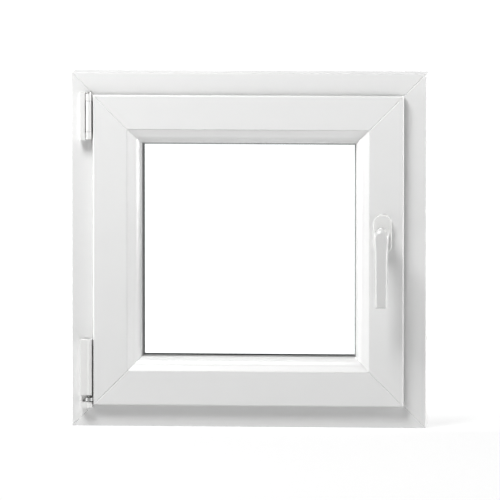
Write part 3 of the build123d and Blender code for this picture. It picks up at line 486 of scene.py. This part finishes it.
def lever_outline(inset, bend):
    """The bar's outline drawn in by inset, with its arched top bent down by bend."""
    arch_centre = axis_z - bend
    radius = lever_half_width(arch_centre) - inset
    arch = [(radius * math.cos(math.pi * i / ARCH_STEPS),
             arch_centre + radius * math.sin(math.pi * i / ARCH_STEPS))
            for i in range(ARCH_STEPS + 1)]
    corner = max(LEAST_CORNER, END_CORNER - inset)
    low = bar_end + inset
    levels = [arch_centre + (low + corner - arch_centre) * i / SIDE_STEPS
              for i in range(1, SIDE_STEPS + 1)]
    left = [(-(lever_half_width(z) - inset), z) for z in levels]
    half = lever_half_width(low) - inset - corner
    left += [(-(half + corner * math.cos(math.pi / 2 * i / CORNER_STEPS)),
              low + corner - corner * math.sin(math.pi / 2 * i / CORNER_STEPS))
             for i in range(1, CORNER_STEPS + 1)]
    right = [(-x, z) for x, z in reversed(left)]
    return [(axis_x + x, z) for x, z in arch + left + right]


# each ring: depth behind the front, inset, bend of the top
LEVER_RINGS = ((0.0, 0.00290, 0.0050), (0.00012, 0.00262, 0.0042), (0.00055, 0.00215, 0.0034),
               (0.00130, 0.00148, 0.0026), (0.00215, 0.00072, 0.0018), (0.00270, 0.00030, 0.0013),
               (0.00340, 0.00006, 0.0009), (0.00420, 0.0, 0.0005), (0.00600, 0.0, 0.0),
               (0.01020, 0.0, 0.0), (0.01120, 0.00022, 0.0), (0.01220, 0.00085, 0.0),
               (0.01290, 0.00170, 0.0), (BAR_DEPTH, 0.0026, 0.0))


def lever_bar():
    """The arch-topped bar: rings from its flat front, over a wide chamfer, to its back."""
    work = bmesh.new()
    rings = [[work.verts.new((x, bar_front + depth, z)) for x, z in lever_outline(inset, bend)]
             for depth, inset, bend in LEVER_RINGS]
    count = len(rings[0])
    for near, far in zip(rings, rings[1:]):
        for i in range(count):
            j = (i + 1) % count
            work.faces.new((near[i], near[j], far[j], far[i]))
    work.faces.new(rings[0])
    work.faces.new(rings[-1])
    return new_piece("lever_bar", closed_mesh(work, "lever_bar"), handle_coat_painted_shade)


bar_piece = lever_bar()
print("bar:", len(bar_piece.data.polygons), "faces")

# %% [markdown]
# The neck is a profile turned about the spindle: a flared collar, a slim waist, and a
# shoulder that runs into the bar. A Boolean then makes one piece of the two, because on a
# cast lever there is no seam to feel.

# %% The neck, and the two joined
def lever_neck():
    """The turned neck: a flared collar, a waist, and a shoulder that enters the bar."""
    start = cap_low.y - 0.0004
    depth = start - (bar_front + BAR_DEPTH)
    profile = [(0.0, 0.0), (0.0117, 0.0), (0.0123, 0.0006), (0.0123, 0.0030), (0.0120, 0.0036),
               (0.0112, 0.0042), (0.0108, 0.007), (0.0106, depth * 0.45), (0.0107, depth * 0.75),
               (0.0110, depth * 0.92), (0.0114, depth), (0.0113, depth + 0.003), (0.0, depth + 0.004)]
    steps = 64
    work = bmesh.new()
    rings = []
    for radius, along in profile:
        y = start - along
        if radius == 0.0:
            rings.append([work.verts.new((axis_x, y, axis_z))])
            continue
        rings.append([work.verts.new((axis_x + radius * math.cos(2 * math.pi * i / steps), y,
                                      axis_z + radius * math.sin(2 * math.pi * i / steps)))
                      for i in range(steps)])
    for near, far in zip(rings, rings[1:]):
        for i in range(steps):
            j = (i + 1) % steps
            if len(near) == 1:
                work.faces.new((near[0], far[i], far[j]))
            elif len(far) == 1:
                work.faces.new((near[i], far[0], near[j]))
            else:
                work.faces.new((near[i], far[i], far[j], near[j]))
    return new_piece("lever_neck", closed_mesh(work, "lever_neck"), handle_coat_painted_shade)


neck_piece = lever_neck()
join = bar_piece.modifiers.new("join", "BOOLEAN")
join.operation = "UNION"
join.solver = "EXACT"
join.object = neck_piece
settle(bar_piece)
bpy.data.objects.remove(neck_piece)
bar_piece.name = "lever_handle"
smooth(bar_piece, 24)
hand_over(bar_piece, "handle_grip")
print("lever:", len(bar_piece.data.polygons), "faces")

# %% [markdown]
# ## Rosette cap
# The cap is a thin oval shell pressed over the fixing plate. Its rim has a large soft
# radius, which a Bevel on the copied mesh gives.

# %% Rosette cap
rosette_cap = softened("handle_rosette_cap", 9 * TENTH, moulded_white, segments=4, degrees=30)
print("rosette cap:", len(rosette_cap.data.polygons), "faces")

# %% [markdown]
# ## Hinge sleeve
# A thin moulded sleeve is snapped round the arm's eye between the two knuckles, open
# where the arm leaves it. Its wall is a ring segment with both rims rounded in.

# %% Sleeve on the arm's eye
pin_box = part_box("stay_pin")
pin_x = (pin_box[0].x + pin_box[1].x) / 2
pin_y = (pin_box[0].y + pin_box[1].y) / 2
arm_low, arm_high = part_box("stay_arm")
SLEEVE_INNER, SLEEVE_OUTER = 0.00552, 0.00580
SLEEVE_END_GAP = 0.0006        # from each knuckle
SLEEVE_TURN = (140, 330)       # degrees about the pin; the rest is open for the arm


def arc_sleeve(name, low, high, inner, outer, start, end, material, steps=40):
    """A sleeve over part of a turn, with rims rounded on the outside."""
    rim = (outer - inner) * 0.9
    wall = [(inner, low), (outer - rim, low), (outer - rim * 0.3, low + rim * 0.3), (outer, low + rim),
            (outer, high - rim), (outer - rim * 0.3, high - rim * 0.3), (outer - rim, high),
            (inner, high)]
    work = bmesh.new()
    sections = []
    for i in range(steps + 1):
        angle = math.radians(start + (end - start) * i / steps)
        sections.append([work.verts.new((pin_x + radius * math.cos(angle),
                                         pin_y + radius * math.sin(angle), z)) for radius, z in wall])
    for near, far in zip(sections, sections[1:]):
        for i in range(len(wall)):
            j = (i + 1) % len(wall)
            work.faces.new((near[i], near[j], far[j], far[i]))
    work.faces.new(sections[0])
    work.faces.new(sections[-1])
    return smooth(new_piece(name, closed_mesh(work, name), material), 30)


sleeve = arc_sleeve("stay_eye_sleeve", arm_low.z + SLEEVE_END_GAP, arm_high.z - SLEEVE_END_GAP,
                    SLEEVE_INNER, SLEEVE_OUTER, *SLEEVE_TURN, moulded_white)
hand_over(sleeve, body="stay")
print("sleeve:", len(sleeve.data.polygons), "faces")

# %% [markdown]
# ## Inner glazing seal
# The seal that shows between bead and glass is a co-extruded lip with a rounded nose.
# Its profile is carried round the four mitred corners as one closed ring.

# %% Seal with a rounded nose
seal_low, seal_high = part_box("inner_glazing_gasket")
NOSE = ((0.0, 0.0), (0.0084, 0.0), (0.0092, 0.0003), (0.0098, 0.0009), (0.0100, 0.0016),
        (0.0098, 0.0023), (0.0090, 0.0029), (0.0080, 0.0030), (0.0, 0.0030))


def mitred_ring(name, low, high, profile, material):
    """A closed ring round the opening. Profile points are (inwards from the outer edge, back)."""
    work = bmesh.new()
    corners = []
    for side_x, side_z in ((-1, -1), (1, -1), (1, 1), (-1, 1)):
        edge_x = low.x if side_x < 0 else high.x
        edge_z = low.z if side_z < 0 else high.z
        corners.append([work.verts.new((edge_x - side_x * inwards, low.y + back,
                                        edge_z - side_z * inwards)) for inwards, back in profile])
    for k in range(4):
        near, far = corners[k], corners[(k + 1) % 4]
        for i in range(len(profile)):
            j = (i + 1) % len(profile)
            work.faces.new((near[i], near[j], far[j], far[i]))
    return smooth(new_piece(name, closed_mesh(work, name), material), 40)


inner_seal = mitred_ring("inner_seal_lip", seal_low, seal_high, NOSE, seal_rubber)
hand_over(inner_seal, "inner_glazing_gasket")
print("inner seal:", len(inner_seal.data.polygons), "faces")

# %% [markdown]
# ## Glazing beads
# The bead is the window's most modelled line: a sloping band under the sash face, and
# then one long rounded curve that falls to the seal. Each of the four is a bar of that
# section between its two mitres, kept a hair apart so that the mitre reads as a joint.

# %% Beads with a full round
left_low, left_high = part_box("glazing_bead_left")
BEAD_REACH = 0.0240            # how far the visible section reaches towards the glass
BEAD_SLOPE_END = (0.0095, -0.0446)
BEAD_CURVE = (BEAD_SLOPE_END, (0.0155, -0.0424), (0.0236, -0.0360), (BEAD_REACH, -0.0262))
ring_low = Vector((left_low.x, 0, left_low.z))
ring_high = Vector((-left_low.x, 0, left_high.z))
# the clip foot reaches further out than the visible edge of the bead
foot = (left_high.x - left_low.x) - BEAD_REACH
MITRE_GAP = 0.00008            # how far each end is drawn back from its mitre


def curve_points(control, steps):
    """Points of a cubic curve from its four control points."""
    points = []
    for i in range(1, steps + 1):
        t = i / steps
        weights = ((1 - t) ** 3, 3 * t * (1 - t) ** 2, 3 * t * t * (1 - t), t ** 3)
        points.append(tuple(sum(w * c[k] for w, c in zip(weights, control)) for k in (0, 1)))
    return points


BEAD_SECTION = [(0.0, -0.0241), (0.0, -0.0488), (0.0001, -0.0491), (0.0004, -0.0492), (0.0009, -0.0490),
                (0.0093, -0.0447), BEAD_SLOPE_END, *curve_points(BEAD_CURVE, 20), (BEAD_REACH, -0.0241)]


def bead_bar(name, node, corner_a, corner_b, material, gap=MITRE_GAP):
    """One mitred bead: its section at two corners of the ring, each drawn back by a hair."""
    work = bmesh.new()
    ends = []
    for corner, other in ((corner_a, corner_b), (corner_b, corner_a)):
        along_x = corner[1] == other[1]
        end = []
        for inwards, y in BEAD_SECTION:
            reach = inwards + foot
            x = (ring_low.x + reach) if corner[0] < 0 else (ring_high.x - reach)
            z = (ring_low.z + reach) if corner[1] < 0 else (ring_high.z - reach)
            if along_x:
                x += gap if corner[0] < 0 else -gap
            else:
                z += gap if corner[1] < 0 else -gap
            end.append(work.verts.new((x, y, z)))
        ends.append(end)
    near, far = ends
    for i in range(len(near)):
        j = (i + 1) % len(near)
        work.faces.new((near[i], near[j], far[j], far[i]))
    work.faces.new(near)
    work.faces.new(far)
    return hand_over(smooth(new_piece(name, closed_mesh(work, name), material), 30), node)


round_beads = [bead_bar("round_bead_left", "glazing_bead_left", (-1, -1), (-1, 1), bead_upright_painted_light),
               bead_bar("round_bead_right", "glazing_bead_right", (1, -1), (1, 1), bead_upright_painted_light),
               bead_bar("round_bead_bottom", "glazing_bead_bottom", (-1, -1), (1, -1), bead_crosswise_painted_light),
               bead_bar("round_bead_top", "glazing_bead_top", (-1, 1), (1, 1), bead_crosswise_painted_light)]
print("beads:", [piece.name for piece in round_beads], "foot", round(foot, 4))

# %% [markdown]
# ## Perforated spacer
# Between the panes, the spacer bar breathes into its drying agent through two rows of
# tiny slots. No slot is cut: each is a small flat black dot, painted shade that stands for
# the dark inside of the slot. They repeat hundreds of times, so Geometry Nodes lays them out:
# a line of points along each side and one dot on each, with their sizes as named inputs.

# %% Slots of the spacer, as painted-shade dots, by Geometry Nodes
spacer_low, spacer_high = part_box("glass_spacer_bar")
SLOT_PITCH, SLOT_RADIUS, SLOT_ROW_GAP = 0.0042, 0.00045, 0.0068
SLOT_END_SPACE = 0.016         # left free of slots on each side, both ends together
SPACER_DEPTH = 0.0070          # from the bar's outer to its inner face


def perforation_nodes():
    """Rows of small dots along +X from the origin: Length, Pitch, Radius, Row Gap."""
    group = bpy.data.node_groups.new("perforation_rows", "GeometryNodeTree")
    socket(group, "Length", "INPUT", value=0.3)
    socket(group, "Pitch", "INPUT", value=0.004)
    socket(group, "Radius", "INPUT", value=0.0006)
    socket(group, "Row Gap", "INPUT", value=0.006)
    socket(group, "Material", "INPUT", "NodeSocketMaterial")
    socket(group, "Geometry", "OUTPUT", "NodeSocketGeometry")
    put_in, put_out = group.nodes.new("NodeGroupInput"), group.nodes.new("NodeGroupOutput")
    link = group.links.new

    def maths(operation, first, second):
        node = group.nodes.new("ShaderNodeMath")
        node.operation = operation
        for place, value in zip(node.inputs, (first, second)):
            if isinstance(value, (int, float)):
                place.default_value = value
            else:
                link(value, place)
        return node.outputs["Value"]

    rows = group.nodes.new("GeometryNodeMeshGrid")
    count = maths("FLOOR", maths("DIVIDE", put_in.outputs["Length"], put_in.outputs["Pitch"]), 0)
    link(put_in.outputs["Length"], rows.inputs["Size X"])
    link(put_in.outputs["Row Gap"], rows.inputs["Size Y"])
    link(count, rows.inputs["Vertices X"])
    rows.inputs["Vertices Y"].default_value = 2
    dot = group.nodes.new("GeometryNodeMeshCylinder")
    dot.inputs["Vertices"].default_value = 10
    dot.inputs["Depth"].default_value = 0.0002
    link(put_in.outputs["Radius"], dot.inputs["Radius"])
    stretch = group.nodes.new("GeometryNodeTransform")
    stretch.inputs["Scale"].default_value = (1.8, 1.0, 1.0)
    link(dot.outputs["Mesh"], stretch.inputs["Geometry"])
    scatter = group.nodes.new("GeometryNodeInstanceOnPoints")
    link(rows.outputs["Mesh"], scatter.inputs["Points"])
    link(stretch.outputs["Geometry"], scatter.inputs["Instance"])
    real = group.nodes.new("GeometryNodeRealizeInstances")
    paint = group.nodes.new("GeometryNodeSetMaterial")
    link(scatter.outputs["Instances"], real.inputs["Geometry"])
    link(real.outputs["Geometry"], paint.inputs["Geometry"])
    link(put_in.outputs["Material"], paint.inputs["Material"])
    link(paint.outputs["Geometry"], put_out.inputs["Geometry"])
    return group


perforations = perforation_nodes()


def perforated_side(length, place):
    """One side's slots, black dots of painted shade, as plain mesh moved to its place."""
    holder = new_piece("side_slot_shade_dots", bpy.data.meshes.new("side_slot_shade_dots"), None)
    rows = holder.modifiers.new("rows", "NODES")
    rows.node_group = perforations
    ids = {item.name: item.identifier for item in perforations.interface.items_tree
           if item.item_type == "SOCKET" and item.in_out == "INPUT"}
    rows[ids["Length"]] = length
    rows[ids["Pitch"]] = SLOT_PITCH
    rows[ids["Radius"]] = SLOT_RADIUS
    rows[ids["Row Gap"]] = SLOT_ROW_GAP
    # black dots: painted shade for the dark inside of each slot
    rows[ids["Material"]] = black_nylon
    settle(holder)
    mesh_data = holder.data
    mesh_data.transform(place)
    bpy.data.objects.remove(holder)
    return mesh_data


mid = (Vector(spacer_low) + Vector(spacer_high)) / 2
half_x = (spacer_high.x - spacer_low.x) / 2 - SPACER_DEPTH
half_z = (spacer_high.z - spacer_low.z) / 2 - SPACER_DEPTH
all_slot_shade_dots = bmesh.new()
for quarter in range(4):
    reach, run = (half_z, half_x) if quarter % 2 == 0 else (half_x, half_z)
    flat_down = Matrix.Translation((0, 0, -reach))
    turned = Matrix.Rotation(math.radians(90 * quarter), 4, "Y")
    side_mesh = perforated_side(2 * run - SLOT_END_SPACE,
                                Matrix.Translation(mid) @ turned @ flat_down)
    all_slot_shade_dots.from_mesh(side_mesh)
slot_shade_mesh = bpy.data.meshes.new("spacer_slot_shade_dots")
all_slot_shade_dots.to_mesh(slot_shade_mesh)
all_slot_shade_dots.free()
# the slots' black is painted shade, not a cut hole
spacer_slot_shade_dots = new_piece("spacer_slot_shade_dots", slot_shade_mesh, black_nylon)
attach(spacer_slot_shade_dots, "sash")
print("spacer slots:", len(slot_shade_mesh.polygons), "faces")

# %% [markdown]
# ## Floor and surround
# The floor is pale, plain and self-lit, and glows a little more behind the window than in
# front of it, so that it reads as white through the glass. The surround is dark before the
# window, pale at its sides and white behind it, and fades with height.

# %% Floor and surround
half_floor = 30.0              # metres
floor_mesh = bpy.data.meshes.new("floor")
floor_mesh.from_pydata([(-half_floor, -half_floor, 0), (half_floor, -half_floor, 0),
                        (half_floor, half_floor, 0), (-half_floor, half_floor, 0)], [], [(0, 1, 2, 3)])
floor_material = bpy.data.materials.new("pale_floor")
floor_material.use_nodes = True
floor_shader = floor_material.node_tree.nodes["Principled BSDF"]
floor_shader.inputs["Base Color"].default_value = (0.22, 0.22, 0.22, 1)
floor_shader.inputs["Roughness"].default_value = 0.9
floor_shader.inputs["Specular IOR Level"].default_value = 0.0
floor_shader.inputs["Emission Color"].default_value = (1, 1, 1, 1)
floor_tree = floor_material.node_tree
floor_place = floor_tree.nodes.new("ShaderNodeTexCoord")
floor_split = floor_tree.nodes.new("ShaderNodeSeparateXYZ")
floor_glow = floor_tree.nodes.new("ShaderNodeMapRange")
for label, value in (("From Min", -0.1), ("From Max", 0.5), ("To Min", 0.76), ("To Max", 1.08)):
    floor_glow.inputs[label].default_value = value
floor_tree.links.new(floor_place.outputs["Object"], floor_split.inputs["Vector"])
floor_tree.links.new(floor_split.outputs["Y"], floor_glow.inputs["Value"])
floor_tree.links.new(floor_glow.outputs["Result"], floor_shader.inputs["Emission Strength"])
floor = new_piece("floor", floor_mesh, floor_material)
world = bpy.data.worlds.new("surround")
scene.world = world
world.use_nodes = True
sky = world.node_tree
sky_place = sky.nodes.new("ShaderNodeTexCoord")
sky_split = sky.nodes.new("ShaderNodeSeparateXYZ")
sky_ramp = sky.nodes.new("ShaderNodeValToRGB")
sky_spread = sky.nodes.new("ShaderNodeMapRange")
sky_spread.inputs["From Min"].default_value = -1.0
sky_spread.inputs["To Max"].default_value = 1.0
# from the front of the room, by the sides, to the backdrop behind the window
SKY_TONES = ((0.0, 0.10), (0.28, 0.16), (0.50, 0.66), (0.70, 0.72), (0.955, 0.80), (0.975, 1.30))
ramp = sky_ramp.color_ramp
while len(ramp.elements) < len(SKY_TONES):
    ramp.elements.new(0.5)
for element, (place, tone) in zip(ramp.elements, SKY_TONES):
    element.position = place
for element, (place, tone) in zip(ramp.elements, SKY_TONES):
    element.color = (tone, tone, tone, 1)
sky.links.new(sky_place.outputs["Generated"], sky_split.inputs["Vector"])
sky.links.new(sky_split.outputs["Y"], sky_spread.inputs["Value"])
sky.links.new(sky_spread.outputs["Result"], sky_ramp.inputs["Fac"])
sky_height = sky.nodes.new("ShaderNodeMapRange")
for label, value in (("From Min", 0.15), ("From Max", 0.8), ("To Min", 1.0), ("To Max", 0.25)):
    sky_height.inputs[label].default_value = value
sky.links.new(sky_split.outputs["Z"], sky_height.inputs["Value"])
sky.links.new(sky_ramp.outputs["Color"], sky.nodes["Background"].inputs["Color"])
sky.links.new(sky_height.outputs["Result"], sky.nodes["Background"].inputs["Strength"])
print("floor and surround ready")

# %% [markdown]
# ## Lights
# The key is a softbox high in front and to the left. Two weaker ones stand to the left
# and right, a little above the window's middle, and light the sides that face them.

# %% Lights
def softbox(name, place, target, size, power):
    """A square area light that faces a target."""
    data = bpy.data.lights.new(name, "AREA")
    data.shape = "SQUARE"
    data.size = size
    data.energy = power
    lamp = bpy.data.objects.new(name, data)
    scene.collection.objects.link(lamp)
    lamp.location = place
    lamp.rotation_euler = (Vector(target) - Vector(place)).to_track_quat("-Z", "Y").to_euler()
    return lamp


box_low, box_high = (Vector(corner) for corner in cad_box)
centre = (box_low + box_high) / 2
# name, place from the window's centre, size in metres, power in watts
SOFTBOXES = (("key", (-0.9, -1.45, 2.5), 1.3, 80), ("right_strip", (2.2, -0.36, 0.2), 0.8, 22),
             ("left_strip", (-2.2, -0.36, 0.2), 0.8, 17))
lamps = [softbox(name, centre + Vector(place), centre, size, power)
         for name, place, size, power in SOFTBOXES]
print("lights:", [lamp.name for lamp in lamps])

# %% [markdown]
# ## Camera
# A long lens from far off gives an almost parallel view. It stands a little above the
# window's middle and a few degrees to the right.

# %% Camera
view_side, view_up = math.radians(4), math.radians(5)
distance = 12.0
seen_width = 0.8452            # metres that the view takes in from side to side, at the aim
SENSOR_WIDTH = 36
aim = Vector((0.0023, -0.035, 0.3006))
direction = Vector((math.sin(view_side) * math.cos(view_up), -math.cos(view_side) * math.cos(view_up),
                    math.sin(view_up)))
camera_data = bpy.data.cameras.new("camera")
camera_data.sensor_width = SENSOR_WIDTH
camera_data.lens = SENSOR_WIDTH * distance / seen_width
camera_data.clip_end = 100
camera = bpy.data.objects.new("camera", camera_data)
scene.collection.objects.link(camera)
camera.location = aim + direction * distance
camera.rotation_euler = (-direction).to_track_quat("-Z", "Y").to_euler()
scene.camera = camera
print("camera lens", round(camera_data.lens), "mm")
